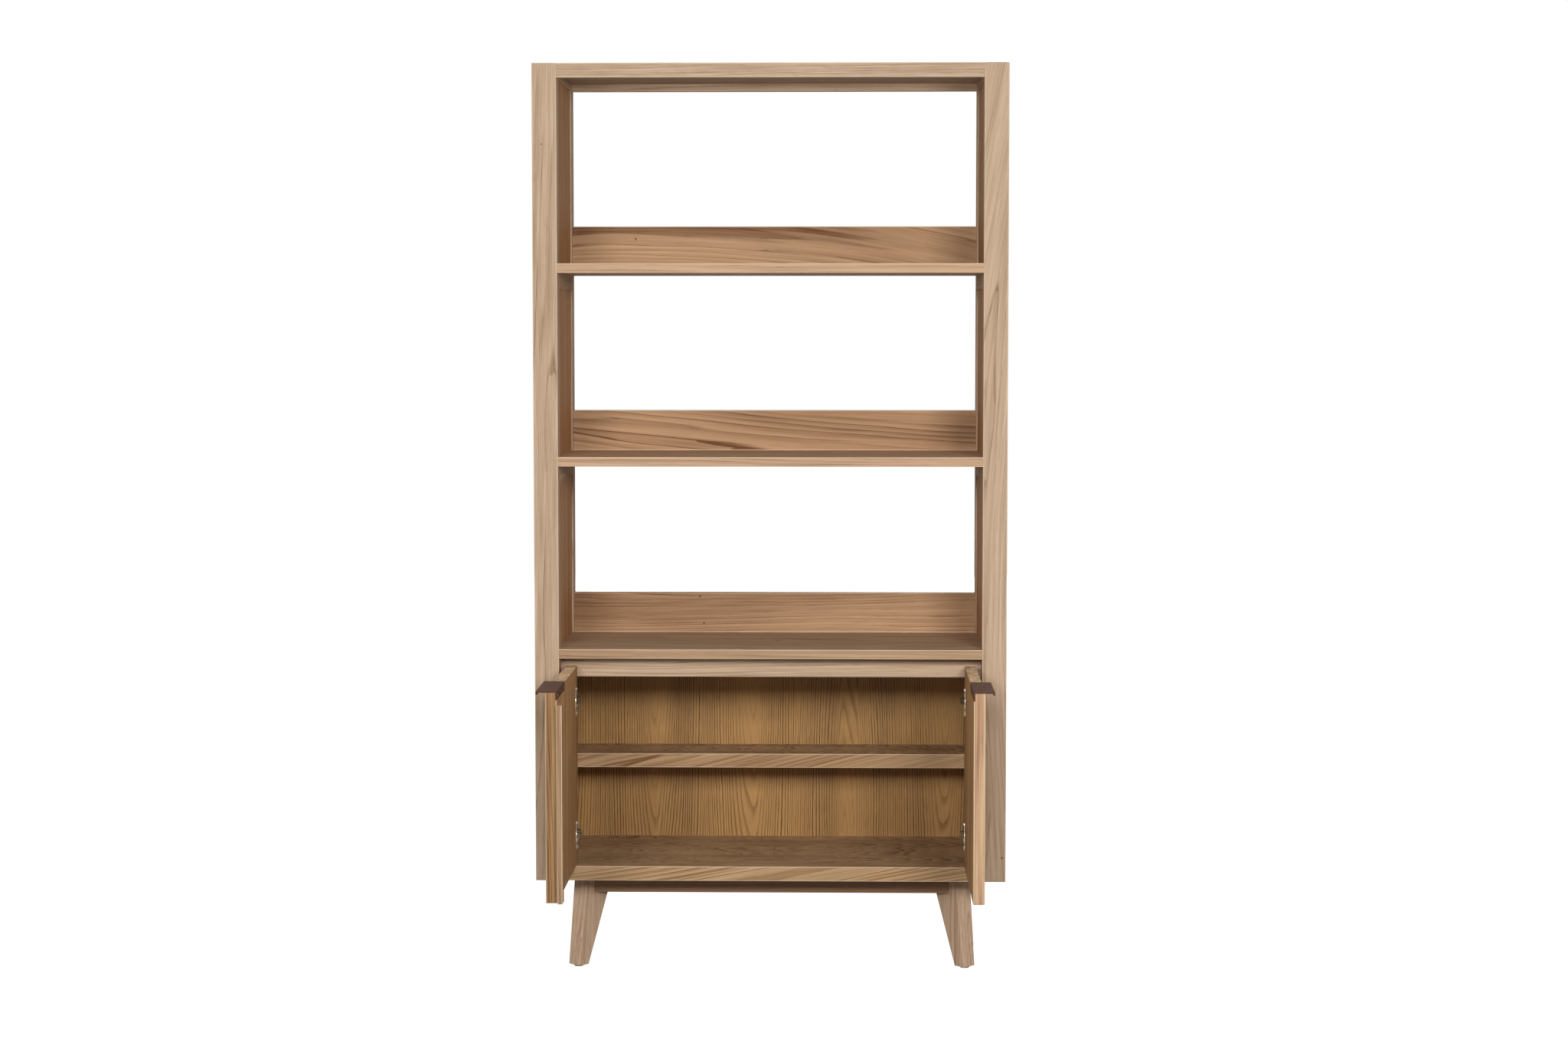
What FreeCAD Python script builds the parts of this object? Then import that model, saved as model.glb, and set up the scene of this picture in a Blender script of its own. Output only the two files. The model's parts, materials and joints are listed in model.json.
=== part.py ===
"""Bookcase with cabinet doors, built from its separate pieces, in millimetres.

Frame: +Z is up and the front faces -Y. The origin is on the floor, below the middle of the
whole shape at rest, and at rest both doors stand open, square to the front.

Every size is a cell of the sheet. A place is an expression of those sizes, and each piece
follows the same order: a blank, then the holes and housings of its joints, then its node.
"""
import FreeCAD
import Part
import Sketcher
import math
import os
import re

# Driving dimensions
SIZES = {
    "case_width": 900.0,
    "case_depth": 350.0,
    "case_height": 1740.0,
    "leg_height": 184.0,
    "post_width": 46.5,
    "post_depth": 45.0,
    "post_round": 1.5,
    "top_rail_height": 27.0,
    "top_rail_depth": 25.0,
    "top_panel_thickness": 13.0,
    "top_rebate_width": 8.0,
    "shelf_thickness": 18.0,
    "shelf_round": 1.0,
    "cabinet_height": 446.0,
    "cleat_height": 30.0,
    "gallery_height": 80.0,
    "gallery_thickness": 21.0,
    "gallery_round": 2.0,
    "side_panel_thickness": 28.0,
    "side_panel_recess": 3.0,
    "panel_tongue_thickness": 10.0,
    "back_panel_thickness": 8.0,
    "back_panel_inset": 2.0,
    "groove_depth": 6.0,
    "bottom_thickness": 28.0,
    "bottom_rail_height": 40.0,
    "header_height": 40.0,
    "header_thickness": 18.0,
    "header_round": 3.0,
    "stile_depth": 45.0,
    "inner_shelf_thickness": 28.0,
    "inner_shelf_height": 216.0,
    "inner_shelf_depth": 136.0,
    "leg_side_inset": 103.0,
    "back_leg_side_inset": 97.0,
    "leg_front_inset": 113.0,
    "leg_top_depth": 68.0,
    "leg_top_width": 40.0,
    "foot_depth": 26.0,
    "foot_width": 32.0,
    "leg_splay": 41.0,
    "leg_round": 3.0,
    "glide_height": 4.0,
    "glide_radius": 9.0,
    "apron_height": 39.0,
    "apron_thickness": 18.0,
    "apron_setback": 12.0,
    "bolt_radius": 4.0,
    "bolt_in_leg": 40.0,
    "bolt_in_board": 20.0,
    "dowel_radius": 4.0,
    "dowel_length": 32.0,
    "screw_radius": 2.0,
    "screw_head_radius": 4.0,
    "screw_bite": 12.0,
    "small_screw_radius": 1.5,
    "small_head_radius": 3.0,
    "small_screw_length": 14.0,
    "hole_clearance": 0.1,
    "door_thickness": 21.0,
    "door_round": 1.5,
    "door_side_gap": 3.0,
    "door_meeting_gap": 3.0,
    "door_bottom_gap": 2.0,
    "door_top_gap": 16.0,
    "strip_width": 25.0,
    "strip_thickness": 10.0,
    "strip_overlap": 10.0,
    "strip_top_drop": 24.0,
    "strip_clearance": 0.8,
    "handle_length": 150.0,
    "handle_projection": 16.5,
    "handle_wall": 2.5,
    "handle_leg": 16.0,
    "handle_lip": 6.0,
    "handle_screw_spacing": 100.0,
    "pivot_inset": 20.5,
    "pivot_depth": 9.5,
    "hinge_top_inset": 66.0,
    "hinge_bottom_inset": 58.0,
    "cup_radius": 17.5,
    "cup_depth": 15.0,
    "cup_wall": 0.8,
    "cup_edge_distance": 22.0,
    "flange_length": 57.0,
    "flange_width": 22.0,
    "flange_thickness": 1.2,
    "flange_screw_spacing": 46.0,
    "pin_radius": 1.25,
    "pin_clearance": 0.05,
    "knuckle_radius": 2.2,
    "arm_thickness": 1.6,
    "arm_width": 12.0,
    "arm_exit_angle": 33.5,
    "arm_exit_reach": 22.5,
    "arm_crank_inset": 26.0,
    "arm_crank_depth": 41.0,
    "arm_foot_depth": 56.0,
    "plate_front": 50.0,
    "plate_length": 38.0,
    "plate_thickness": 3.0,
    "plate_width": 18.0,
    "wing_length": 16.0,
    "wing_span": 48.0,
    "wing_screw_spacing": 32.0,
}

doc = FreeCAD.newDocument("bookcase")
sheet = doc.addObject("Spreadsheet::Sheet", "Sizes")
for row, (alias, value) in enumerate(SIZES.items(), start=1):
    sheet.set(f"A{row}", alias)
    sheet.set(f"B{row}", str(value))
    sheet.setAlias(f"B{row}", alias)
doc.recompute()

SIDES = ("left", "right")
ENDS = ("front", "back")
HEIGHTS = ("upper", "lower")

# Places, as expressions of the driving dimensions

# Across: distances from the middle plane
OUTER = "(case_width / 2)"
INNER = "(case_width / 2 - post_width)"
POST_MIDDLE = "(case_width / 2 - post_width / 2)"
PANEL_FACE = f"({INNER} + side_panel_recess)"
PANEL_OUTER = f"({PANEL_FACE} + side_panel_thickness)"
HOUSING_END = f"({PANEL_OUTER} - panel_tongue_thickness)"
CLEAT_MIDDLE = f"(({INNER} + {HOUSING_END}) / 2)"
LEG_X = {"front": "(case_width / 2 - leg_side_inset)", "back": "(case_width / 2 - back_leg_side_inset)"}
PIVOT_X = f"({INNER} - pivot_inset)"

# Doors: distances from the hinge pin towards the free edge, and across the thickness
HINGE_EDGE = "(door_side_gap - pivot_inset)"
FREE_EDGE = f"({INNER} - door_meeting_gap / 2 - pivot_inset)"
OUTER_FACE = "(-pivot_depth)"
INNER_FACE = "(door_thickness - pivot_depth)"
CUP_CENTRE = f"({HINGE_EDGE} + cup_edge_distance)"

# Front to back: the open doors and the case are centred together
DOOR_REACH = f"({FREE_EDGE} + strip_overlap - pivot_depth)"
FRONT = f"(({DOOR_REACH} - case_depth) / 2)"
BACK = f"({FRONT} + case_depth)"
POST_BEHIND = f"({FRONT} + post_depth)"
BACK_POST = f"({BACK} - post_depth)"
SHELF_BACK = f"({BACK} - back_panel_inset - back_panel_thickness)"
STILE_BEHIND = f"({POST_BEHIND} + stile_depth)"
PIVOT_Y = f"({FRONT} + pivot_depth)"
LEG_Y = {"front": f"({FRONT} + leg_front_inset)", "back": f"({BACK} - leg_front_inset)"}

# Levels
BASE = "leg_height"
TOP = "case_height"
FLOOR_LEVEL = "(leg_height + bottom_thickness)"
CABINET_TOP = "(leg_height + cabinet_height)"
CABINET_CEILING = f"({CABINET_TOP} - shelf_thickness)"
INNER_SHELF_LEVEL = "(leg_height + inner_shelf_height)"
DOOR_BOTTOM = f"({FLOOR_LEVEL} + door_bottom_gap)"
DOOR_TOP = f"({CABINET_CEILING} - door_top_gap)"
HINGE_LEVEL = {"upper": f"({DOOR_TOP} - hinge_top_inset)", "lower": f"({DOOR_BOTTOM} + hinge_bottom_inset)"}
LEG_CORNER = "((leg_top_depth + leg_top_width) / (2 * sqrt(2)))"

# The open bays above the cabinet have the same clear height
BAYS = 3
SHELF_PITCH = f"(({TOP} - top_rail_height + shelf_thickness - {CABINET_TOP}) / {BAYS})"

X_AXIS = FreeCAD.Vector(1, 0, 0)
Y_AXIS = FreeCAD.Vector(0, 1, 0)
Z_AXIS = FreeCAD.Vector(0, 0, 1)
INWARD = {"left": X_AXIS, "right": -X_AXIS}

# Two places or directions that differ by less than this are the same
SAME = 0.001

# Screws along a cleat, and across the back panel, as shares of the span
SCREW_SHARES = (0.25, 0.75)
BACK_SCREW_SHARES = (-0.75, -0.25, 0.25, 0.75)

# Each board with its cleats, its gallery and the level of its upper face
SHELVES = (
    ("shelf_upper", "upper_cleat", "gallery_upper", f"({CABINET_TOP} + 2 * {SHELF_PITCH})"),
    ("shelf_middle", "middle_cleat", "gallery_middle", f"({CABINET_TOP} + {SHELF_PITCH})"),
    ("cabinet_top", "cabinet_top_cleat", "gallery_lower", CABINET_TOP),
)
board_fronts = {"inner_shelf": f"({SHELF_BACK} - inner_shelf_depth)"}

posts = {}
blanks = {}
tools = {}
groups = {}
nodes = {}


# Small helpers

def formula(text):
    """Expression in which each size's name points at its cell of the sheet."""
    return re.sub(r"[a-z_]+", lambda word: f"Sizes.{word[0]}" if word[0] in SIZES else word[0], text)


def number(text):
    """Value that an expression of the sizes has now."""
    return float(sheet.evalExpression(text))


def place(solid, start):
    """Bind the three coordinates of a solid's placement to expressions."""
    for axis, text in zip("xyz", start):
        solid.setExpression(f"Placement.Base.{axis}", formula(text))


def box(name, x, y, z):
    """Box between a low and a high expression on each axis."""
    solid = doc.addObject("Part::Box", name)
    for side, (low, high) in zip(("Length", "Width", "Height"), (x, y, z)):
        solid.setExpression(side, formula(f"({high}) - ({low})"))
    place(solid, (x[0], y[0], z[0]))
    return solid


def rod(name, start, direction, radius, length):
    """Cylinder from a start point along a direction."""
    solid = doc.addObject("Part::Cylinder", name)
    solid.Placement = FreeCAD.Placement(FreeCAD.Vector(), FreeCAD.Rotation(Z_AXIS, direction))
    solid.setExpression("Radius", formula(radius))
    solid.setExpression("Height", formula(length))
    place(solid, start)
    return solid


def fuse(name, solids):
    """One solid from several that overlap or touch."""
    result = doc.addObject("Part::MultiFuse", name)
    result.Shapes = solids
    result.Refine = True
    return result


def cut(name, solid, removed):
    """A solid less a list of others."""
    result = doc.addObject("Part::Cut", name)
    result.Base = solid
    result.Tool = removed[0]
    if len(removed) > 1:
        result.Tool = doc.addObject("Part::Compound", name + "_tools")
        result.Tool.Links = removed
    return result


def on_side(edge, side, limits):
    """True if an edge of a box lies in its front, bottom or top face."""
    faces = {"front": ("y", limits.YMin), "bottom": ("z", limits.ZMin), "top": ("z", limits.ZMax)}
    axis, level = faces[side]
    return abs(getattr(edge.CenterOfMass, axis) - level) < SAME


def parallel(edge, axis):
    """True if a straight edge runs along an axis."""
    return edge.tangentAt(edge.FirstParameter).cross(axis).Length < SAME


def rounded(name, solid, radius, axes=(X_AXIS, Y_AXIS, Z_AXIS), on=(), off=()):
    """A box with the edges along the axes rounded that lie on every side in on, and on none in off."""
    doc.recompute()
    limits = solid.Shape.BoundBox
    result = doc.addObject("Part::Fillet", name)
    result.Base = solid
    chosen = []
    for index, edge in enumerate(solid.Shape.Edges, start=1):
        along = any(parallel(edge, axis) for axis in axes)
        held = all(on_side(edge, side, limits) for side in on)
        spared = any(on_side(edge, side, limits) for side in off)
        if along and held and not spared:
            chosen.append((index, number(radius), number(radius)))
    result.Edges = chosen
    return result


def remove(node, *solids):
    """Note solids to be cut out of a node's blank."""
    tools.setdefault(node, []).extend(solids)


def gather(group, solid):
    """Note a solid as one of a group that shares a node."""
    groups.setdefault(group, []).append(solid)


def mirrored(side, near, far):
    """Range on X between two distances from the middle plane, on the left or the right."""
    return (f"-({far})", f"-({near})") if side == "left" else (near, far)


def mirrored_point(side, distance):
    """Place on X at a distance from the middle plane, on the left or the right."""
    return f"-({distance})" if side == "left" else distance


def dowel(centre, axis, hosts):
    """Dowel across the joint of two pieces, with its hole in both."""
    start = [f"{text} - dowel_length / 2 * {part:g}" for text, part in zip(centre, axis)]
    gather("frame_dowels", rod("dowel", start, axis, "dowel_radius", "dowel_length"))
    hole = rod("dowel_hole", start, axis, "dowel_radius + hole_clearance", "dowel_length")
    for host in hosts:
        remove(host, hole)


def countersunk(name, start, direction, radius, head, length):
    """Shank with a head that narrows at 90 degrees from the start point."""
    cone = doc.addObject("Part::Cone", name + "_head")
    cone.Placement = FreeCAD.Placement(FreeCAD.Vector(), FreeCAD.Rotation(Z_AXIS, direction))
    cone.setExpression("Radius1", formula(head))
    cone.setExpression("Radius2", formula(radius))
    cone.setExpression("Height", formula(f"({head}) - ({radius})"))
    place(cone, start)
    return fuse(name, [cone, rod(name + "_shank", start, direction, radius, length)])


def screw(group, start, direction, radius, head, length):
    """Countersunk screw of a group; returns its hole, to cut from what it passes through."""
    gather(group, countersunk("screw", start, direction, radius, head, length))
    return countersunk("screw_hole", start, direction, f"{radius} + hole_clearance",
                       f"{head} + hole_clearance", length)


def small_screw(group, start, direction):
    """Screw of the hinges, handles and back panel; returns its hole."""
    return screw(group, start, direction, "small_screw_radius", "small_head_radius", "small_screw_length")


# Posts, rails and panels of the case

def make_posts():
    """Four corner posts; the raw boxes also shape what is notched round them."""
    depth = {"front": (FRONT, POST_BEHIND), "back": (BACK_POST, BACK)}
    for end in ENDS:
        for side in SIDES:
            node = f"post_{end}_{side}"
            posts[end, side] = box(node + "_square", mirrored(side, INNER, OUTER), depth[end], (BASE, TOP))
            blanks[node] = rounded(node + "_blank", posts[end, side], "post_round", off=("bottom",))


def make_top():
    """Frame of four rails with a panel let into a rebate, flush with the posts' tops."""
    level = (f"{TOP} - top_rail_height", TOP)
    middle = f"{TOP} - top_rail_height / 2"
    depth = {"front": (FRONT, f"{FRONT} + top_rail_depth"), "back": (f"{BACK} - top_rail_depth", BACK)}
    solid_middle = "(top_rail_depth - top_rebate_width) / 2"
    dowel_y = {"front": f"{FRONT} + {solid_middle}", "back": f"{BACK} - {solid_middle}"}
    for end in ENDS:
        node = f"top_rail_{end}"
        blanks[node] = box(node + "_blank", (f"-{INNER}", INNER), depth[end], level)
        for side in SIDES:
            dowel((mirrored_point(side, INNER), dowel_y[end], middle), X_AXIS, (node, f"post_{end}_{side}"))
    for side in SIDES:
        node = f"top_rail_{side}"
        blanks[node] = box(node + "_blank", mirrored(side, INNER, OUTER), (POST_BEHIND, BACK_POST), level)
        end_dowels(node, side, POST_MIDDLE, middle)
    reach = f"({INNER} + top_rebate_width)"
    panel = box("top_panel_blank", (f"-{reach}", reach),
                (f"{FRONT} + top_rail_depth - top_rebate_width",
                 f"{BACK} - top_rail_depth + top_rebate_width"),
                (f"{TOP} - top_panel_thickness", TOP))
    blanks["top_panel"] = panel
    remove("top_panel", *posts.values())
    for place_name in ENDS + SIDES:
        remove(f"top_rail_{place_name}", panel)


def end_dowels(node, side, across, level, front_host="post_front"):
    """Dowels at both ends of a piece that runs from front to back."""
    front_joint = STILE_BEHIND if front_host == "hinge_stile" else POST_BEHIND
    x = mirrored_point(side, across)
    dowel((x, front_joint, level), Y_AXIS, (node, f"{front_host}_{side}"))
    dowel((x, BACK_POST, level), Y_AXIS, (node, f"post_back_{side}"))


def make_sides():
    """Side panels, each with a tongue in grooves of the posts and rails, and a rail below each."""
    for side in SIDES:
        rail = f"bottom_rail_{side}"
        level = (BASE, f"{BASE} + bottom_rail_height")
        blanks[rail] = box(rail + "_blank", mirrored(side, INNER, OUTER), (POST_BEHIND, BACK_POST), level)
        end_dowels(rail, side, POST_MIDDLE, f"{BASE} + bottom_rail_height / 2")
        node = f"side_panel_{side}"
        tongue = box(node + "_tongue", mirrored(side, HOUSING_END, PANEL_OUTER),
                     (f"{POST_BEHIND} - groove_depth", f"{BACK_POST} + groove_depth"),
                     (f"{BASE} + bottom_rail_height - groove_depth",
                      f"{TOP} - top_rail_height + groove_depth"))
        core = box(node + "_core", mirrored(side, PANEL_FACE, HOUSING_END), (POST_BEHIND, BACK_POST),
                   (f"{BASE} + bottom_rail_height", f"{TOP} - top_rail_height"))
        blanks[node] = fuse(node + "_blank", [tongue, core])
        for host in (f"post_front_{side}", f"post_back_{side}", rail, f"top_rail_{side}"):
            remove(host, tongue)


# Shelves and the boards that go with them

def make_cleat(node, side, top, front_host, board):
    """Rail under a board, housed in the side panel, flush with the posts and screwed up into the board."""
    front_joint = STILE_BEHIND if front_host == "hinge_stile" else POST_BEHIND
    bottom = f"({top} - cleat_height)"
    across = mirrored(side, INNER, HOUSING_END)
    blanks[node] = box(node + "_blank", across, (front_joint, BACK_POST), (bottom, top))
    remove(f"side_panel_{side}", blanks[node])
    end_dowels(node, side, CLEAT_MIDDLE, f"{bottom} + cleat_height / 3", front_host)
    span = f"({BACK_POST} - {board_fronts.get(board, front_joint)})"
    for share in SCREW_SHARES:
        start = (mirrored_point(side, CLEAT_MIDDLE), f"{BACK_POST} - {share} * {span}", bottom)
        hole = screw("shelf_screws", start, Z_AXIS, "screw_radius", "screw_head_radius",
                     "cleat_height + screw_bite")
        remove(node, hole)
        remove(board, hole)


def make_shelves():
    """Two open shelves and the cabinet top: notched round the posts, housed in the side panels.

    Each has a gallery at its back.
    """
    for board, cleat, gallery, level in SHELVES:
        raw = box(board + "_square", (f"-{HOUSING_END}", HOUSING_END), (FRONT, SHELF_BACK),
                  (f"{level} - shelf_thickness", level))
        blanks[board] = rounded(board + "_blank", raw, "shelf_round", (X_AXIS,), on=("front",))
        remove(board, *posts.values())
        for side in SIDES:
            remove(f"side_panel_{side}", raw)
            make_cleat(f"{cleat}_{side}", side, f"({level} - shelf_thickness)", "post_front", board)
        raw = box(gallery + "_square", (f"-{INNER}", INNER),
                  (f"{SHELF_BACK} - gallery_thickness", SHELF_BACK), (level, f"{level} + gallery_height"))
        blanks[gallery] = rounded(gallery + "_blank", raw, "gallery_round", (X_AXIS,), on=("top",))
        for side in SIDES:
            centre = (mirrored_point(side, INNER), f"{SHELF_BACK} - gallery_thickness / 2",
                      f"{level} + gallery_height / 2")
            dowel(centre, X_AXIS, (gallery, f"post_back_{side}"))


# Cabinet

def make_cabinet():
    """Bottom board, back panel, header rail, hinge stiles and the half-depth inner shelf."""
    raw = box("cabinet_bottom_square", (f"-{INNER}", INNER), (FRONT, SHELF_BACK), (BASE, FLOOR_LEVEL))
    blanks["cabinet_bottom"] = rounded("cabinet_bottom_blank", raw, "shelf_round", (X_AXIS,),
                                       on=("front",))
    for side in SIDES:
        for share in SCREW_SHARES:
            centre = (mirrored_point(side, INNER), f"{BACK_POST} - {share} * ({BACK_POST} - {POST_BEHIND})",
                      f"{BASE} + bottom_thickness / 2")
            dowel(centre, X_AXIS, ("cabinet_bottom", f"bottom_rail_{side}"))

    reach = f"({INNER} + groove_depth)"
    panel = box("cabinet_back_panel_blank", (f"-{reach}", reach),
                (SHELF_BACK, f"{SHELF_BACK} + back_panel_thickness"), (BASE, CABINET_TOP))
    blanks["cabinet_back_panel"] = panel
    for side in SIDES:
        remove(f"post_back_{side}", panel)
    levels = {"cabinet_bottom": f"{BASE} + bottom_thickness / 2",
              "cabinet_top": f"{CABINET_TOP} - shelf_thickness / 2"}
    for board, level in levels.items():
        for share in BACK_SCREW_SHARES:
            start = (f"{share} * {INNER}", f"{SHELF_BACK} + back_panel_thickness", level)
            hole = small_screw("back_panel_screws", start, -Y_AXIS)
            remove("cabinet_back_panel", hole)
            remove(board, hole)

    raw = box("header_rail_square", (f"-{INNER}", INNER), (POST_BEHIND, f"{POST_BEHIND} + header_thickness"),
              (f"{CABINET_CEILING} - header_height", CABINET_CEILING))
    blanks["header_rail"] = rounded("header_rail_blank", raw, "header_round", (X_AXIS,),
                                    on=("front", "bottom"))
    for side in SIDES:
        centre = (mirrored_point(side, INNER), f"{POST_BEHIND} + header_thickness / 2",
                  f"{CABINET_CEILING} - cleat_height / 4")
        dowel(centre, X_AXIS, ("header_rail", f"cabinet_top_cleat_{side}"))
        node = f"hinge_stile_{side}"
        blanks[node] = box(node + "_blank", mirrored(side, INNER, HOUSING_END), (POST_BEHIND, STILE_BEHIND),
                           (f"{BASE} + bottom_rail_height", f"{CABINET_CEILING} - cleat_height"))
        remove(f"side_panel_{side}", blanks[node])

    under = f"({INNER_SHELF_LEVEL} - inner_shelf_thickness)"
    raw = box("inner_shelf_square", (f"-{HOUSING_END}", HOUSING_END),
              (board_fronts["inner_shelf"], SHELF_BACK), (under, INNER_SHELF_LEVEL))
    blanks["inner_shelf"] = rounded("inner_shelf_blank", raw, "shelf_round", (X_AXIS,), on=("front",))
    for side in SIDES:
        remove("inner_shelf", posts["back", side])
        remove(f"side_panel_{side}", raw)
        make_cleat(f"inner_shelf_cleat_{side}", side, under, "hinge_stile", "inner_shelf")


# Base

def rectangle(body, name, level, x, y):
    """Sketch of a rectangle at a level above the body's own base plane."""
    sketch = body.newObject("Sketcher::SketchObject", name)
    plane = next(item for item in body.Origin.OriginFeatures if item.Role == "XY_Plane")
    sketch.AttachmentSupport = [(plane, "")]
    sketch.MapMode = "FlatFace"
    sketch.setExpression("AttachmentOffset.Base.z", formula(level))
    corners = [FreeCAD.Vector(number(a), number(b), 0) for a, b in
               ((x[0], y[0]), (x[1], y[0]), (x[1], y[1]), (x[0], y[1]))]
    for index in range(4):
        sketch.addGeometry(Part.LineSegment(corners[index], corners[(index + 1) % 4]))
    for index in range(4):
        sketch.addConstraint(Sketcher.Constraint("Coincident", index, 2, (index + 1) % 4, 1))
        sketch.addConstraint(Sketcher.Constraint(("Horizontal", "Vertical")[index % 2], index))
    limits = (("DistanceX", 0, x[0]), ("DistanceX", 1, x[1]), ("DistanceY", 0, y[0]), ("DistanceY", 2, y[1]))
    for kind, line, text in limits:
        index = sketch.addConstraint(Sketcher.Constraint(kind, -1, 1, line, 1, number(text)))
        sketch.setExpression(f"Constraints[{index}]", formula(text))
    return sketch


def make_leg(end, side):
    """Leg turned to 45 degrees: its local X points out of the case's corner, and it tapers and splays."""
    node = f"leg_{end}_{side}"
    body = doc.addObject("PartDesign::Body", node + "_blank")
    half = {"top": ("leg_top_depth / 2", "leg_top_width / 2"), "foot": ("foot_depth / 2", "foot_width / 2")}
    top = rectangle(body, node + "_top", BASE, [f"{sign}{half['top'][0]}" for sign in ("-", "")],
                    [f"{sign}{half['top'][1]}" for sign in ("-", "")])
    foot = rectangle(body, node + "_foot", "glide_height",
                     [f"leg_splay {sign} {half['foot'][0]}" for sign in "-+"],
                     [f"{sign}{half['foot'][1]}" for sign in ("-", "")])
    loft = body.newObject("PartDesign::AdditiveLoft", node + "_taper")
    loft.Profile = top
    loft.Sections = [foot]
    loft.Ruled = True
    doc.recompute()
    half_height = number("(leg_height - glide_height) / 2")
    corner_edges = [f"Edge{index}" for index, edge in enumerate(loft.Shape.Edges, start=1)
                    if edge.BoundBox.ZLength > half_height]
    softened = body.newObject("PartDesign::Fillet", node + "_softened")
    softened.Base = (loft, corner_edges)
    softened.setExpression("Radius", formula("leg_round"))
    outward = FreeCAD.Vector(1 if side == "right" else -1, 1 if end == "back" else -1, 0)
    body.Placement = FreeCAD.Placement(FreeCAD.Vector(), FreeCAD.Rotation(X_AXIS, outward))
    body.setExpression("Placement.Base.x", formula(mirrored_point(side, LEG_X[end])))
    body.setExpression("Placement.Base.y", formula(LEG_Y[end]))
    blanks[node] = body

    bolt_start = (mirrored_point(side, LEG_X[end]), LEG_Y[end], f"{BASE} - bolt_in_leg")
    gather("leg_bolts", rod("leg_bolt", bolt_start, Z_AXIS, "bolt_radius", "bolt_in_leg + bolt_in_board"))
    hole = rod("bolt_hole", bolt_start, Z_AXIS, "bolt_radius + hole_clearance", "bolt_in_leg + bolt_in_board")
    remove(node, hole)
    remove("cabinet_bottom", hole)

    shift = "leg_splay / sqrt(2)"
    foot_y = f"{LEG_Y[end]} {'+' if end == 'back' else '-'} {shift}"
    foot_centre = (mirrored_point(side, f"{LEG_X[end]} + {shift}"), foot_y, "0")
    gather("foot_glides", rod("foot_glide", foot_centre, Z_AXIS, "glide_radius", "glide_height"))


def make_base():
    """Four legs with aprons between them, cut to the legs' slanting faces."""
    for end in ENDS:
        for side in SIDES:
            make_leg(end, side)
    level = (f"{BASE} - apron_height", BASE)
    front_face = f"({LEG_Y['front']} - {LEG_CORNER} + apron_setback)"
    back_face = f"({LEG_Y['back']} + {LEG_CORNER} - apron_setback)"
    depth = {"front": (front_face, f"{front_face} + apron_thickness"),
             "back": (f"{back_face} - apron_thickness", back_face)}
    for end in ENDS:
        node = f"apron_{end}"
        blanks[node] = box(node + "_blank", (f"-{LEG_X[end]}", LEG_X[end]), depth[end], level)
        remove(node, *[blanks[f"leg_{end}_{side}"] for side in SIDES])
    side_face = f"({LEG_X['front']} + {LEG_CORNER} - apron_setback)"
    for side in SIDES:
        node = f"apron_{side}"
        blanks[node] = box(node + "_blank", mirrored(side, f"{side_face} - apron_thickness", side_face),
                           (LEG_Y["front"], LEG_Y["back"]), level)
        remove(node, *[blanks[f"leg_{end}_{side}"] for end in ENDS])


# Doors, in their open pose

def door_box(name, side, along, through, z):
    """Box on a door: along is measured from the pin to the free edge, through from the pin inwards."""
    x = mirrored(side, f"{PIVOT_X} - ({through[1]})", f"{PIVOT_X} - ({through[0]})")
    return box(name, x, (f"{PIVOT_Y} - ({along[1]})", f"{PIVOT_Y} - ({along[0]})"), z)


def door_point(side, along, through, level):
    """Point on a door, in the same terms as door_box."""
    return (mirrored_point(side, f"({PIVOT_X} - ({through}))"), f"{PIVOT_Y} - ({along})", level)


def make_door(side):
    """Door panel with its edge pull; the left one also carries the rebate strip."""
    panel = f"door_panel_{side}"
    raw = door_box(panel + "_square", side, (HINGE_EDGE, FREE_EDGE), (OUTER_FACE, INNER_FACE),
                   (DOOR_BOTTOM, DOOR_TOP))
    blanks[panel] = rounded(panel + "_blank", raw, "door_round")

    along = (f"{FREE_EDGE} - handle_length", FREE_EDGE)
    front = f"({OUTER_FACE} - handle_projection)"
    top_plate = door_box("handle_plate", side, along, (front, INNER_FACE),
                         (f"{DOOR_TOP} - handle_wall", DOOR_TOP))
    leg = door_box("handle_leg_part", side, along, (f"{INNER_FACE} - handle_wall", INNER_FACE),
                   (f"{DOOR_TOP} - handle_leg", DOOR_TOP))
    lip = door_box("handle_lip_part", side, along, (front, f"{front} + handle_wall"),
                   (f"{DOOR_TOP} - handle_lip", DOOR_TOP))
    blanks[f"door_handle_{side}"] = fuse(f"door_handle_{side}_blank", [top_plate, leg, lip])
    remove(panel, top_plate, leg)
    for sign in "-+":
        middle = f"{FREE_EDGE} - handle_length / 2 {sign} handle_screw_spacing / 2"
        start = door_point(side, middle, INNER_FACE, f"{DOOR_TOP} - (handle_leg + handle_wall) / 2")
        hole = small_screw(f"door_screws_{side}", start, -INWARD[side])
        remove(f"door_handle_{side}", hole)
        remove(panel, hole)

    if side == "left":
        ends = (f"{FREE_EDGE} + strip_overlap - strip_width", f"{FREE_EDGE} + strip_overlap")
        level = (DOOR_BOTTOM, f"{DOOR_TOP} - strip_top_drop")
        raw = door_box("strip_square", side, ends, (INNER_FACE, f"{INNER_FACE} + strip_thickness"), level)
        blanks["rebate_strip"] = rounded("rebate_strip_blank", raw, "shelf_round")
        relief = door_box("strip_relief", side, (FREE_EDGE, ends[1]),
                          (INNER_FACE, f"{INNER_FACE} + strip_clearance"), level)
        remove("rebate_strip", relief)


# Cup hinges

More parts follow.
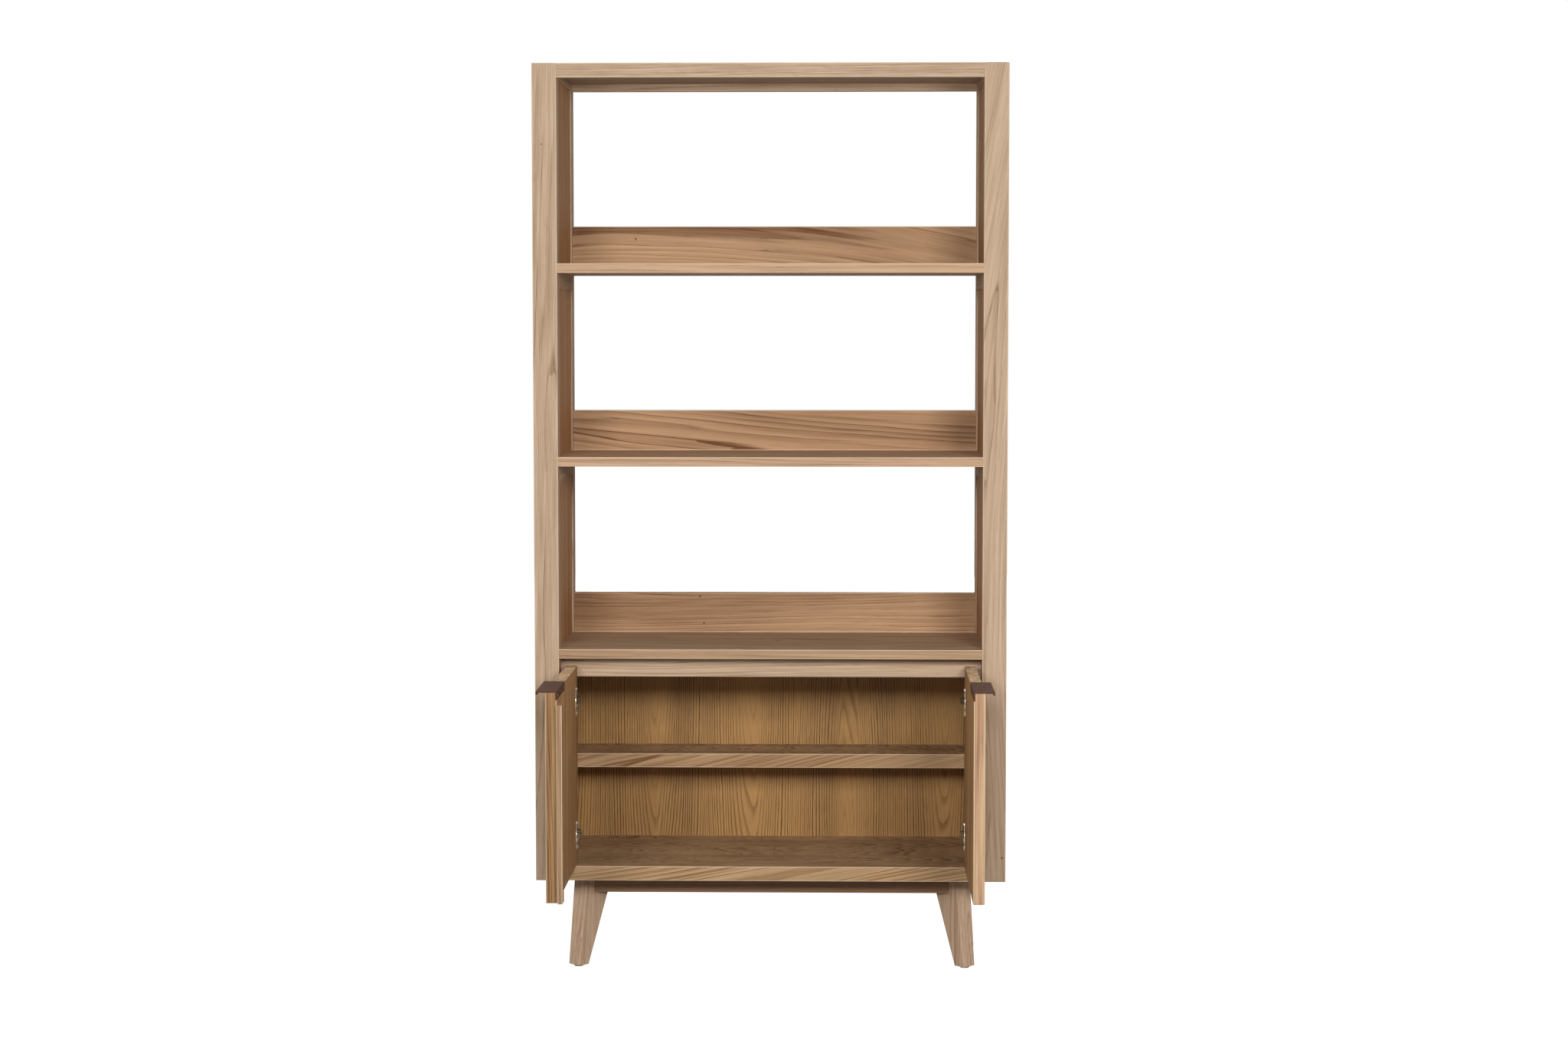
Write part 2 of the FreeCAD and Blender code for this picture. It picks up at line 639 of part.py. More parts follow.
def bent_strip(path, thickness):
    """Outline of a flat strip bent along a path, with mitred corners."""
    def normal(start, finish):
        length = math.dist(start, finish)
        return ((start[1] - finish[1]) / length, (finish[0] - start[0]) / length)

    normals = [normal(start, finish) for start, finish in zip(path, path[1:])]
    outline = []
    for sign in (1, -1):
        edge = []
        for point, before, after in zip(path, normals[:1] + normals, normals + normals[-1:]):
            scale = sign * thickness / (1 + before[0] * after[0] + before[1] * after[1])
            edge.append([at + scale / 2 * (one + two) for at, one, two in zip(point, before, after)])
        outline += edge[::sign]
    return outline


def hinge_arm(name, side, level):
    """Cranked arm: a knuckle on the pin, a run out of the cup, a crank, and a foot along the plate."""
    pivot = (number("pivot_inset"), number("pivot_depth"))
    angle = math.radians(number("arm_exit_angle"))
    reach = number("arm_exit_reach")
    foot_inset = number("plate_thickness + arm_thickness / 2")
    path = [
        pivot,
        (pivot[0] + reach * math.cos(angle), pivot[1] + reach * math.sin(angle)),
        (number("arm_crank_inset"), number("arm_crank_depth")),
        (foot_inset, number("arm_foot_depth")),
        (foot_inset, number("plate_front + plate_length")),
    ]
    width = number("arm_width")
    bottom = number(level) - width / 2
    sign = -1 if side == "left" else 1

    def world(point):
        return FreeCAD.Vector(sign * (number(INNER) - point[0]), number(FRONT) + point[1], bottom)

    corners = [world(point) for point in bent_strip(path, number("arm_thickness"))]
    strip = Part.Face(Part.makePolygon(corners + corners[:1])).extrude(Z_AXIS * width)
    knuckle = Part.makeCylinder(number("knuckle_radius"), width, world(pivot), Z_AXIS)
    bore = Part.makeCylinder(number("pin_radius + pin_clearance"), width, world(pivot), Z_AXIS)
    arm = doc.addObject("Part::Feature", name)
    arm.Shape = strip.fuse(knuckle).cut(bore).removeSplitter()
    arm.Placement = FreeCAD.Placement()
    return arm


def make_hinge(side, height):
    """One concealed hinge: cup, pin and screws on the door; arm, plate and screws on the stile."""
    level = HINGE_LEVEL[height]
    panel = f"door_panel_{side}"

    def around(span):
        return (f"{level} - {span} / 2", f"{level} + {span} / 2")

    def cup_rod(name, floor, radius, length):
        start = door_point(side, CUP_CENTRE, f"{INNER_FACE} - ({floor})", level)
        return rod(name, start, INWARD[side], radius, length)

    shell = cup_rod("cup_shell", "cup_depth", "cup_radius", "cup_depth")
    width = (f"{CUP_CENTRE} - flange_width / 2", f"{CUP_CENTRE} + flange_width / 2")
    flange = door_box("cup_flange", side, width, (INNER_FACE, f"{INNER_FACE} + flange_thickness"),
                      around("flange_length"))
    flange = rounded("cup_flange_rounded", flange, "flange_width / 4", (X_AXIS,))
    hollow = cup_rod("cup_hollow", "cup_depth - cup_wall", "cup_radius - cup_wall",
                     "cup_depth + flange_thickness")
    pin_half = f"sqrt((cup_radius - cup_wall / 2) ^ 2 - {CUP_CENTRE} ^ 2)"
    pin_start = door_point(side, "0", "0", f"{level} - {pin_half}")
    gather(f"hinge_pins_{side}", rod("hinge_pin", pin_start, Z_AXIS, "pin_radius", f"2 * {pin_half}"))
    bore = rod("pin_bore", pin_start, Z_AXIS, "pin_radius + pin_clearance", f"2 * {pin_half}")
    screw_holes = []
    for sign in "-+":
        start = door_point(side, CUP_CENTRE, f"{INNER_FACE} + flange_thickness",
                           f"{level} {sign} flange_screw_spacing / 2")
        screw_holes.append(small_screw(f"door_screws_{side}", start, -INWARD[side]))
    cup = fuse("hinge_cup_blank", [shell, flange])
    gather(f"hinge_cups_{side}", cut("hinge_cup", cut("hinge_cup_open", cup, [hollow]), [bore] + screw_holes))
    recess = cup_rod("cup_recess", "cup_depth + hole_clearance", "cup_radius + hole_clearance",
                     "cup_depth + 2 * hole_clearance")
    remove(panel, recess, *screw_holes)

    stile = f"hinge_stile_{side}"
    face = mirrored(side, f"{INNER} - plate_thickness", INNER)
    centre_y = f"({FRONT} + plate_front + plate_length / 2)"
    bar = box("plate_bar", face, (f"{FRONT} + plate_front", f"{FRONT} + plate_front + plate_length"),
              around("plate_width"))
    wing = box("plate_wing", face, (f"{centre_y} - wing_length / 2", f"{centre_y} + wing_length / 2"),
               around("wing_span"))
    plate_holes = []
    for sign in "-+":
        start = (mirrored_point(side, f"({INNER} - plate_thickness)"), centre_y,
                 f"{level} {sign} wing_screw_spacing / 2")
        plate_holes.append(small_screw("plate_screws", start, -INWARD[side]))
    start = (mirrored_point(side, f"({INNER} - plate_thickness - arm_thickness)"),
             f"{centre_y} + plate_length / 4", level)
    arm_hole = small_screw("plate_screws", start, -INWARD[side])
    plate = fuse("hinge_plate_blank", [bar, wing])
    gather("hinge_plates", cut("hinge_plate", plate, plate_holes + [arm_hole]))
    gather("hinge_arms", cut("hinge_arm", hinge_arm("hinge_arm_blank", side, level), [arm_hole]))
    remove(stile, *plate_holes, arm_hole)


# Assembly

def finish():
    """Cut each blank, name the nodes, and check every object before anything is written."""
    for node, blank in blanks.items():
        nodes[node] = cut(node + "_cut", blank, tools[node]) if node in tools else blank
    for group, solids in groups.items():
        nodes[group] = doc.addObject("Part::Compound", group + "_group")
        nodes[group].Links = solids
    for node, solid in nodes.items():
        solid.Label = node
    doc.recompute()
    for item in doc.Objects:
        if {"Invalid", "Error"} & set(item.State):
            raise RuntimeError(f"{item.Label} is {item.State}")
    for node, solid in nodes.items():
        if solid.Shape.isNull() or not solid.Shape.isValid() or solid.Label != node:
            raise RuntimeError(f"{node} has no valid shape or its label is taken")
        wanted = len(groups.get(node, [node]))
        if len(solid.Shape.Solids) != wanted:
            raise RuntimeError(f"{node} has {len(solid.Shape.Solids)} solids, not {wanted}")


make_posts()
make_top()
make_sides()
make_shelves()
make_cabinet()
make_base()
for door_side in SIDES:
    make_door(door_side)
    for hinge_height in HEIGHTS:
        make_hinge(door_side, hinge_height)
finish()

os.makedirs("parts", exist_ok=True)
for node_name, piece in nodes.items():
    piece.Shape.exportStep(f"parts/{node_name}.step")
print(len(nodes), "nodes written")
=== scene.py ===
"""Looks of the bookcase with cabinet doors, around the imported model.

Lengths are metres, or millimetres where a name ends in _mm or _MM. +Z is up, the front faces -Y,
and at rest both doors stand open, square to the front.
"""

import json
import math

import bpy
import numpy as np
from mathutils import Matrix, Vector


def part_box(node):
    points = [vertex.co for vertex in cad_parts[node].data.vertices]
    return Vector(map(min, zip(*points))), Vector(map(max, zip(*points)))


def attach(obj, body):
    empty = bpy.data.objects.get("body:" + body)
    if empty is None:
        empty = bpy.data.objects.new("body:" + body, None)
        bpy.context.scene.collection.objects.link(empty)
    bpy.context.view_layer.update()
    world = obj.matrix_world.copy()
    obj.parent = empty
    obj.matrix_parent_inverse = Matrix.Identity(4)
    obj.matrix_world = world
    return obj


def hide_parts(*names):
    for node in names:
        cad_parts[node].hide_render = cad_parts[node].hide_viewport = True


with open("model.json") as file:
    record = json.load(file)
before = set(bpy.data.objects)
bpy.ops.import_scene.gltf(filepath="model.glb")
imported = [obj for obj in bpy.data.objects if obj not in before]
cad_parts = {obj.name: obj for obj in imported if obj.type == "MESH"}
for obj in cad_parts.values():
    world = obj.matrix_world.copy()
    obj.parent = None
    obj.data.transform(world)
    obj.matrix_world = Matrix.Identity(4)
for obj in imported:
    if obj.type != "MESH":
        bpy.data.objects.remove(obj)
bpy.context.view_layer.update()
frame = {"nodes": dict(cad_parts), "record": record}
nodes = frame["nodes"]
slot_of = {part["node"]: part["material_slot"] for part in frame["record"]["subparts"]}
MM = 0.001

# Camera that took the photograph
SENSOR_WIDTH_MM = 36.0
LENS_MM = 66.62
CAMERA_PLACE = Vector((0.1406, -5.484, 1.245))
CAMERA_AIM = Vector((0.0262, 0.016, 0.8731))


def linear(hex_colour):
    """Linear RGBA of an sRGB colour written as #RRGGBB."""
    share = np.array([int(hex_colour[start:start + 2], 16) for start in (1, 3, 5)]) / 255
    curve = np.where(share <= 0.04045, share / 12.92, ((share + 0.055) / 1.055) ** 2.4)
    return (*curve.tolist(), 1.0)


def add(tree, kind, inputs=None, **settings):
    """Add a shader node with its settings; each input is a value, or a socket to link from."""
    node = tree.nodes.new("ShaderNode" + kind)
    for name, value in settings.items():
        setattr(node, name, value)
    for key, value in (inputs or {}).items():
        if isinstance(value, bpy.types.NodeSocket):
            tree.links.new(value, node.inputs[key])
        else:
            node.inputs[key].default_value = value
    return node


def empty_tree(owner):
    """Node tree of a material or a world, with its default nodes taken out."""
    owner.use_nodes = True
    owner.node_tree.nodes.clear()
    return owner.node_tree


def new_material(name):
    """Material with a single shader; returns it with its node tree and that shader."""
    material = bpy.data.materials.new(name)
    tree = empty_tree(material)
    shader = add(tree, "BsdfPrincipled")
    add(tree, "OutputMaterial", {"Surface": shader.outputs["BSDF"]})
    return material, tree, shader


def put(name, data):
    """New object in the scene, at the origin."""
    thing = bpy.data.objects.new(name, data)
    bpy.context.scene.collection.objects.link(thing)
    return thing


# What solid wood and veneer share

LACQUER_IOR = 1.45
RELIEF_STRENGTH = 0.3


def strips(tree, across, middle, width):
    """Divide a board into equal strips, one on a middle: the running count and the strip's number."""
    count = add(tree, "Math", {0: across, 1: 1 / width, 2: 0.5 - middle / width},
                operation="MULTIPLY_ADD").outputs[0]
    return count, add(tree, "Math", {0: count}, operation="FLOOR").outputs[0]


def bent_radius(tree, grown, noise_place, bend_size, reach):
    """Distance from the heart, which is on local Z, once slow noise has moved a place sideways."""
    flow = add(tree, "TexNoise", {"Vector": noise_place, "Scale": 1 / bend_size, "Detail": 1.0})
    centred = add(tree, "VectorMath", {0: flow.outputs["Color"], 1: (0.5, 0.5, 0.5)},
                  operation="SUBTRACT").outputs[0]
    moved = add(tree, "VectorMath", {0: centred, 1: (reach, reach, 0), 2: grown},
                operation="MULTIPLY_ADD").outputs[0]
    flat = add(tree, "VectorMath", {0: moved, 1: (1, 1, 0)}, operation="MULTIPLY").outputs[0]
    return add(tree, "VectorMath", {0: flat}, operation="LENGTH").outputs["Value"]


def ring_parts(tree, phase):
    """How far through its ring a point lies, from 0 to 1, and a random value of the whole ring."""
    through = add(tree, "Math", {0: phase}, operation="FRACT").outputs[0]
    number = add(tree, "Math", {0: phase}, operation="FLOOR").outputs[0]
    own = add(tree, "TexWhiteNoise", {"W": number}, noise_dimensions="1D").outputs["Value"]
    return through, own


def lacquer(tree, shader, colour, fibre, rough, specular, relief, depth):
    """Clear lacquer over wood: the fibres break up its gloss, and a fine relief shows through it."""
    tree.links.new(colour, shader.inputs["Base Color"])
    level = add(tree, "MapRange", {"Value": fibre, "From Min": 0.3, "From Max": 0.7,
                                   "To Min": rough[0], "To Max": rough[1]}).outputs[0]
    tree.links.new(level, shader.inputs["Roughness"])
    shader.inputs["IOR"].default_value = LACQUER_IOR
    shader.inputs["Specular IOR Level"].default_value = specular
    bump = add(tree, "Bump", {"Height": relief, "Strength": RELIEF_STRENGTH, "Distance": depth}).outputs[0]
    tree.links.new(bump, shader.inputs["Normal"])


# Solid wood: sizes of its figure across the grain, from its slow changes of tone to its pores

TONE_SIZE = 110 * MM
BEND_SIZE = 80 * MM
PATCH_SIZE = 40 * MM
WOBBLE_SIZE = 12 * MM
STREAK_SIZE = 9 * MM
FIBRE_SIZE = 2.2 * MM
PORE_SIZE = 1.1 * MM

# All the figure is drawn out along the grain, and its thin and thinnest lines are drawn out further
DRAWN_OUT = (1, 1, 0.12)
THIN = (1, 1, 0.3)
THINNEST = (1, 1, 0.12)

# Noise mostly keeps within a quarter of its mean, so this gain makes it reach the length asked for
NOISE_GAIN = 4
# Ring widths drift over this many rings, by up to this many rings
DRIFT_LENGTH = 3.2
DRIFT_REACH = 2.2
EARLY_SHARE = 0.2
LATE_STRENGTH = 0.45
# A stave moves sideways by a share of its width at most, slides along by metres, and has a tone of its own
STAVE_SHIFT = 0.3
STAVE_SLIDE = 3.0
STAVE_TONE = 0.3
# Noise is a half on average; the palest wood lies this far below the sum of the averages
PALE_MARGIN = 0.325
TONE_SPAN = 1.05
# A face's own tones (some of them painted light), and the painted highlight along an edge, are full to the
# first depth and gone at the second
FACE_SKIN = (0.6 * MM, 1.4 * MM)
EDGE_HIGHLIGHT_SKIN = (0.5 * MM, 2.4 * MM)
PORE_COLOUR = "#5E4533"
KNOT_COLOUR = "#4A3022"
# Pale cream of the painted highlight along rounded edges
EDGE_HIGHLIGHT_COLOUR = "#DCC4A6"
WOOD_ROUGHNESS = (0.66, 0.8)
WOOD_SPECULAR = 0.06
PORE_DEPTH = 0.15 * MM


def ring_space(axes, lean, heart):
    """Turn and shift that lay a tree's heart on local Z: it passes a point, along the grain but for its lean.

    The axes are the board's own: across it, through it and along it.
    """
    square = Matrix([[float(axis == column) for column in range(3)] for axis in axes])
    if square.determinant() < 0:
        square[1].negate()
    upright = Vector((*lean, 1)).rotation_difference(Vector((0, 0, 1))).to_matrix()
    turn = upright @ square
    return turn.to_euler("XYZ"), -(turn @ Vector(heart))


def staves(tree, place, axes, heart, width):
    """Cut a wide board into glued staves, each of which moves the pattern by its own amounts."""
    across, thick, along = axes
    parts = add(tree, "SeparateXYZ", {0: place}).outputs
    number = strips(tree, parts[across], heart[across], width)[1]
    chance = add(tree, "TexWhiteNoise", {"W": number}, noise_dimensions="1D").outputs["Color"]
    spread = [0.0, 0.0, 0.0]
    spread[across] = STAVE_SHIFT * width
    spread[thick] = STAVE_SHIFT * width
    spread[along] = STAVE_SLIDE
    random_part = add(tree, "VectorMath", {0: chance, 1: spread}, operation="MULTIPLY").outputs[0]
    step = [0.0, 0.0, 0.0]
    step[across] = -width
    back = add(tree, "VectorMath", {0: number, 1: step, 2: random_part}, operation="MULTIPLY_ADD").outputs[0]
    return add(tree, "VectorMath", {0: place, 1: back}, operation="ADD").outputs[0], chance


def log_place(tree, laid, axes, lean, heart, bow):
    """Place in the log, with its heart on local Z, drawn out along the grain; the heart's line may bow."""
    turn, shift = ring_space(axes, lean, heart)
    ring = add(tree, "Mapping", {"Vector": laid, "Location": shift, "Rotation": turn}).outputs[0]
    if bow:
        height = add(tree, "SeparateXYZ", {0: ring}).outputs["Z"]
        squared = add(tree, "Math", {0: height, 1: height}, operation="MULTIPLY").outputs[0]
        ring = add(tree, "VectorMath", {0: squared, 1: (-bow, 0, 0), 2: ring},
                   operation="MULTIPLY_ADD").outputs[0]
    return add(tree, "VectorMath", {0: ring, 1: DRAWN_OUT}, operation="MULTIPLY").outputs[0]


def growth_rings(tree, radius, seeded, thin, ring_mm, contrast):
    """Strength of the ring lines, and where the early wood is, in which most of the pores stand.

    Ring widths drift, and each ring has its own strength. It starts with dark early wood, then is
    pale, and darkens towards its end. Lines are stronger in some patches than in others.
    """
    drift = add(tree, "TexNoise", {"W": radius, "Scale": 1 / (DRIFT_LENGTH * ring_mm * MM), "Detail": 1.0},
                noise_dimensions="1D").outputs["Fac"]
    wobble = add(tree, "TexNoise", {"Vector": thin, "Scale": 1 / WOBBLE_SIZE, "Detail": 1.0}).outputs["Fac"]
    drifted = add(tree, "Math", {0: drift, 1: DRIFT_REACH, 2: wobble}, operation="MULTIPLY_ADD").outputs[0]
    phase = add(tree, "Math", {0: radius, 1: 1 / (ring_mm * MM), 2: drifted},
                operation="MULTIPLY_ADD").outputs[0]
    through, own = ring_parts(tree, phase)
    late = add(tree, "MapRange", {"Value": through, "From Min": EARLY_SHARE, "To Max": LATE_STRENGTH},
               interpolation_type="SMOOTHSTEP").outputs[0]
    early = add(tree, "MapRange", {"Value": through, "From Max": EARLY_SHARE, "To Min": 1.0, "To Max": 0.0},
                interpolation_type="SMOOTHSTEP").outputs[0]
    line = add(tree, "Math", {0: late, 1: early}, operation="MAXIMUM").outputs[0]
    patch = add(tree, "TexNoise", {"Vector": seeded, "Scale": 1 / PATCH_SIZE, "Detail": 1.0}).outputs["Fac"]
    strong = add(tree, "MapRange", {"Value": patch, "From Min": 0.32, "From Max": 0.68,
                                    "To Min": 0.3 * contrast, "To Max": contrast}).outputs[0]
    each = add(tree, "MapRange", {"Value": own, "From Min": 0.2, "To Min": 0.15, "To Max": 1.15}).outputs[0]
    strength = add(tree, "Math", {0: strong, 1: each}, operation="MULTIPLY").outputs[0]
    return add(tree, "Math", {0: line, 1: strength}, operation="MULTIPLY").outputs[0], early


def pore_dashes(tree, thin, early):
    """Pore dashes along the grain, most of them in the early wood."""
    noise = add(tree, "TexNoise", {"Vector": thin, "Scale": 1 / PORE_SIZE, "Detail": 1.0}).outputs["Fac"]
    dashes = add(tree, "MapRange", {"Value": noise, "From Min": 0.58, "From Max": 0.7}).outputs[0]
    rows = add(tree, "Math", {0: early, 1: 0.8, 2: 0.2}, operation="MULTIPLY_ADD").outputs[0]
    return add(tree, "Math", {0: dashes, 1: rows}, operation="MULTIPLY").outputs[0]


def face_tones(tree, place, box, tones, faces):
    """Light and dark tone of a board, with other tones on some of its faces, some of which are painted light.
    """
    light, dark = [linear(tone) for tone in tones]
    for (axis, end), own_tones in faces:
        level = add(tree, "SeparateXYZ", {0: place}).outputs[axis]
        inward = 1 - 2 * end
        full, gone = [box[end][axis] + inward * depth for depth in FACE_SKIN]
        on_face = add(tree, "MapRange", {"Value": level, "From Min": full, "From Max": gone,
                                         "To Min": 1.0, "To Max": 0.0}).outputs[0]
        light, dark = [add(tree, "Mix", {0: on_face, 6: one, 7: linear(two)}, data_type="RGBA").outputs[2]
                       for one, two in zip((light, dark), own_tones)]
    return light, dark


def knot_spots(tree, place, colour, knots):
    """Small dark round knots, each at a place of its own and of a width in millimetres."""
    for *spot, width_mm in knots:
        far = add(tree, "VectorMath", {0: place, 1: spot}, operation="DISTANCE").outputs["Value"]
        near = add(tree, "MapRange", {"Value": far, "From Min": 0.25 * width_mm * MM,
                                      "From Max": 0.8 * width_mm * MM, "To Min": 0.75, "To Max": 0.0},
                   interpolation_type="SMOOTHSTEP").outputs[0]
        colour = add(tree, "Mix", {0: near, 6: colour, 7: linear(KNOT_COLOUR)}, data_type="RGBA").outputs[2]
    return colour


def painted_edge_highlights(tree, place, colour, box, axes):
    """Painted highlight along the four long edges of a board, where their rounding would catch the light."""
    from_low = add(tree, "VectorMath", {0: place, 1: box[0]}, operation="SUBTRACT").outputs[0]
    from_high = add(tree, "VectorMath", {0: box[1], 1: place}, operation="SUBTRACT").outputs[0]
    nearest = add(tree, "VectorMath", {0: from_low, 1: from_high}, operation="MINIMUM").outputs[0]
    inside = add(tree, "SeparateXYZ", {0: nearest}).outputs
    corner = add(tree, "Math", {0: inside[axes[0]], 1: inside[axes[1]]}, operation="MAXIMUM").outputs[0]
    full, gone = EDGE_HIGHLIGHT_SKIN
    highlight_share = add(tree, "MapRange", {"Value": corner, "From Min": full, "From Max": gone,
                                  "To Min": 0.65, "To Max": 0.0}, interpolation_type="SMOOTHSTEP").outputs[0]
    return add(tree, "Mix", {0: highlight_share, 6: colour, 7: linear(EDGE_HIGHLIGHT_COLOUR)}, data_type="RGBA").outputs[2]


def timber(name, box, axes, tones, heart, ring_mm, lean=(0, 0), bow=0.0, flow_mm=10.0, contrast=0.85,
           stave_mm=0.0, seed=0.0, knots=(), faces=(), painted_edge_highlight=True, fibres=0.8, streaks=0.45, mottle=0.8):
    """Open-pored tan hardwood under matt lacquer, as sawn from a log.

    Growth rings are circles round the heart, whose line may bow, bent by slow noise that is long
    with the grain. Fibres and pore dashes run along the grain. The fibres are drawn about three
    times as coarse as real, so that they show. A face can have tones of its own, some of them
    painted light, and a painted highlight makes the long edges a little paler.
    """
    material, tree, shader = new_material(name)
    place = add(tree, "TexCoord").outputs["Object"]
    laid = place
    if stave_mm:
        laid, chance = staves(tree, place, axes, heart, stave_mm * MM)
    grown = log_place(tree, laid, axes, lean, heart, bow)
    own_part = (seed, 1.7 * seed, 2.3 * seed)
    seeded = add(tree, "VectorMath", {0: grown, 1: own_part}, operation="ADD").outputs[0]
    thin = add(tree, "VectorMath", {0: seeded, 1: THIN}, operation="MULTIPLY").outputs[0]
    thinnest = add(tree, "VectorMath", {0: seeded, 1: THINNEST}, operation="MULTIPLY").outputs[0]
    radius = bent_radius(tree, grown, seeded, BEND_SIZE, NOISE_GAIN * flow_mm * MM)
    rings, early = growth_rings(tree, radius, seeded, thin, ring_mm, contrast)

    fibre = add(tree, "TexNoise", {"Vector": thinnest, "Scale": 1 / FIBRE_SIZE, "Detail": 2.0}).outputs["Fac"]
    streak = add(tree, "TexNoise", {"Vector": thin, "Scale": 1 / STREAK_SIZE, "Detail": 1.0}).outputs["Fac"]
    tone = add(tree, "TexNoise", {"Vector": seeded, "Scale": 1 / TONE_SIZE, "Detail": 2.0}).outputs["Fac"]
    if stave_mm:
        tone = add(tree, "Mix", {0: STAVE_TONE, 2: tone, 3: chance}, data_type="FLOAT").outputs[0]
    drawn = rings
    for figure, weight in ((fibre, fibres), (streak, streaks), (tone, mottle)):
        drawn = add(tree, "Math", {0: figure, 1: weight, 2: drawn}, operation="MULTIPLY_ADD").outputs[0]
    palest = (fibres + streaks + mottle) / 2 - PALE_MARGIN
    darkest = palest + TONE_SPAN
    share = add(tree, "MapRange", {"Value": drawn, "From Min": palest, "From Max": darkest}).outputs[0]
    light, dark = face_tones(tree, place, box, tones, faces)
    ground = add(tree, "Mix", {0: share, 6: light, 7: dark}, data_type="RGBA").outputs[2]

    pore = pore_dashes(tree, thin, early)
    pore_share = add(tree, "Math", {0: pore, 1: 0.5}, operation="MULTIPLY").outputs[0]
    colour = add(tree, "Mix", {0: pore_share, 6: ground, 7: linear(PORE_COLOUR)}, data_type="RGBA").outputs[2]
    colour = knot_spots(tree, place, colour, knots)
    if painted_edge_highlight:
        colour = painted_edge_highlights(tree, place, colour, box, axes)
    relief = add(tree, "Math", {0: pore, 1: -1.0, 2: fibre}, operation="MULTIPLY_ADD").outputs[0]
    lacquer(tree, shader, colour, fibre, WOOD_ROUGHNESS, WOOD_SPECULAR, relief, PORE_DEPTH)
    return material


# Veneer of the cabinet's back

LEAF_WIDTH = 195 * MM
FIRST_LEAF_MIDDLE = -244 * MM
TURNED_LEAF = 2
VENEER_MID_HEIGHT = 0.4
HEART_DEPTH = 15 * MM
HEART_SLOPE = -0.08
TURNED_SLOPE = 0.07
VENEER_RING = 4.8 * MM
VENEER_BEND_SIZE = 45 * MM
VENEER_BEND_REACH = 22 * MM
VENEER_FIBRE_SIZE = 1.6 * MM
VENEER_TONE_SIZE = 70 * MM
VENEER_LONG = (1, 0, 0.06)
VENEER_THIN = (1, 0, 0.05)
# Ring lines are faint at the heart and full this far out
ARCH_FADE = (6 * MM, 55 * MM)
VENEER_ROUGHNESS = (0.42, 0.55)
VENEER_SPECULAR = 0.2
VENEER_LINE_DEPTH = 0.1 * MM


def veneer(name, light, dark):
    """Oak-like veneer in slip-matched leaves, with satin lacquer.

    In each leaf the tree's heart runs close behind the face and at a slope, so the rings make
    straight thin lines at the leaf's sides and a narrow arch in its middle. One leaf is turned over.
    """
    material, tree, shader = new_material(name)
    place = add(tree, "TexCoord").outputs["Object"]
    parts = add(tree, "SeparateXYZ", {0: place}).outputs
    count, number = strips(tree, parts["X"], FIRST_LEAF_MIDDLE, LEAF_WIDTH)
    part = add(tree, "Math", {0: count, 1: number}, operation="SUBTRACT").outputs[0]
    side = add(tree, "MapRange", {"Value": part, "To Min": -LEAF_WIDTH / 2,
                                  "To Max": LEAF_WIDTH / 2}).outputs[0]
    flipped = add(tree, "Math", {0: number, 1: TURNED_LEAF, 2: 0.5}, operation="COMPARE").outputs[0]
    slope = add(tree, "MapRange", {"Value": flipped, "To Min": HEART_SLOPE,
                                   "To Max": TURNED_SLOPE}).outputs[0]
    rise = add(tree, "Math", {0: parts["Z"], 1: VENEER_MID_HEIGHT}, operation="SUBTRACT").outputs[0]
    behind = add(tree, "Math", {0: rise, 1: slope, 2: HEART_DEPTH}, operation="MULTIPLY_ADD").outputs[0]
    leaf = add(tree, "CombineXYZ", {"X": side, "Y": behind, "Z": number}).outputs[0]
    long_place = add(tree, "VectorMath", {0: place, 1: VENEER_LONG}, operation="MULTIPLY").outputs[0]
    radius = bent_radius(tree, leaf, long_place, VENEER_BEND_SIZE, VENEER_BEND_REACH)
    phase = add(tree, "Math", {0: radius, 1: 1 / VENEER_RING, 2: number}, operation="MULTIPLY_ADD").outputs[0]
    through, own = ring_parts(tree, phase)
    early = add(tree, "MapRange", {"Value": through, "From Min": 0.05, "From Max": 0.5,
                                   "To Min": 1.0, "To Max": 0.0}, interpolation_type="SMOOTHSTEP").outputs[0]
    strength = add(tree, "MapRange", {"Value": own, "To Min": 0.42, "To Max": 0.8}).outputs[0]
    faint, full = ARCH_FADE
    away = add(tree, "MapRange", {"Value": radius, "From Min": faint, "From Max": full, "To Min": 0.25},
               interpolation_type="SMOOTHSTEP").outputs[0]
    faded = add(tree, "Math", {0: strength, 1: away}, operation="MULTIPLY").outputs[0]
    line = add(tree, "Math", {0: early, 1: faded}, operation="MULTIPLY").outputs[0]
    thin = add(tree, "VectorMath", {0: place, 1: VENEER_THIN}, operation="MULTIPLY").outputs[0]
    fibre = add(tree, "TexNoise", {"Vector": thin, "Scale": 1 / VENEER_FIBRE_SIZE,
                                   "Detail": 2.0}).outputs["Fac"]
    tone = add(tree, "TexNoise", {"Vector": long_place, "Scale": 1 / VENEER_TONE_SIZE,
                                  "Detail": 1.0}).outputs["Fac"]
    with_fibre = add(tree, "Math", {0: fibre, 1: 0.7, 2: line}, operation="MULTIPLY_ADD").outputs[0]
    with_tone = add(tree, "Math", {0: tone, 1: 0.6, 2: with_fibre}, operation="MULTIPLY_ADD").outputs[0]
    share = add(tree, "MapRange", {"Value": with_tone, "From Min": 0.55, "From Max": 1.45}).outputs[0]
    colour = add(tree, "Mix", {0: share, 6: linear(light), 7: linear(dark)}, data_type="RGBA").outputs[2]
    lacquer(tree, shader, colour, fibre, VENEER_ROUGHNESS, VENEER_SPECULAR, line, -VENEER_LINE_DEPTH)
    return material


# Metals and plastic

